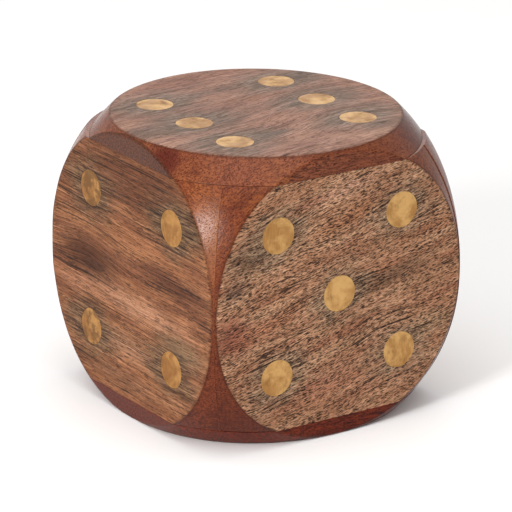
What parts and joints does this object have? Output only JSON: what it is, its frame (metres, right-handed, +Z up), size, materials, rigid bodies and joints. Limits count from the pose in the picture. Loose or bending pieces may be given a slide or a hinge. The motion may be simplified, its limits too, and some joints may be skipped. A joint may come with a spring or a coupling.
{
  "type": "wooden die box",
  "caption": "Large rounded wooden die that is a lidded keepsake box, with mitred walls, ball-trimmed corners and flush brass pips.",
  "frame": {"origin": "centre of the face that the die rests on, under the middle of the box", "axes": "+Z up through the lid (six), -Y out of the five face, -X out of the four face"},
  "size_m": [0.08, 0.08, 0.08],
  "materials": {
    "lid_wood": "sanded bare on the flat face, red-brown satin stain on the rounded rim",
    "wall_wood": "sanded bare on the flat faces, red-brown satin stain on the rounded corners",
    "base_wood": "sanded, stained at the rim",
    "inner_wood": "raw sanded",
    "pip_brass": "sanded flush, lightly tarnished"
  },
  "bodies": {
    "box": {"front_wall": "wall_wood", "back_wall": "wall_wood", "left_wall": "wall_wood", "right_wall": "wall_wood", "base_board": "base_wood", "front_pip_1": "pip_brass", "front_pip_2": "pip_brass", "front_pip_3": "pip_brass", "front_pip_4": "pip_brass", "front_pip_5": "pip_brass", "left_pip_1": "pip_brass", "left_pip_2": "pip_brass", "left_pip_3": "pip_brass", "left_pip_4": "pip_brass", "right_pip_1": "pip_brass", "right_pip_2": "pip_brass", "right_pip_3": "pip_brass", "back_pip_1": "pip_brass", "back_pip_2": "pip_brass", "base_pip_1": "pip_brass"},
    "lid": {"lid": "lid_wood", "lid_lip": "inner_wood", "top_pip_1": "pip_brass", "top_pip_2": "pip_brass", "top_pip_3": "pip_brass", "top_pip_4": "pip_brass", "top_pip_5": "pip_brass", "top_pip_6": "pip_brass"}
  },
  "joints": [
    {"name": "lid_lift", "type": "slide", "parent": "box", "child": "lid", "axis": [0, 0, 1], "range_m": [0, 0.06]}
  ]
}
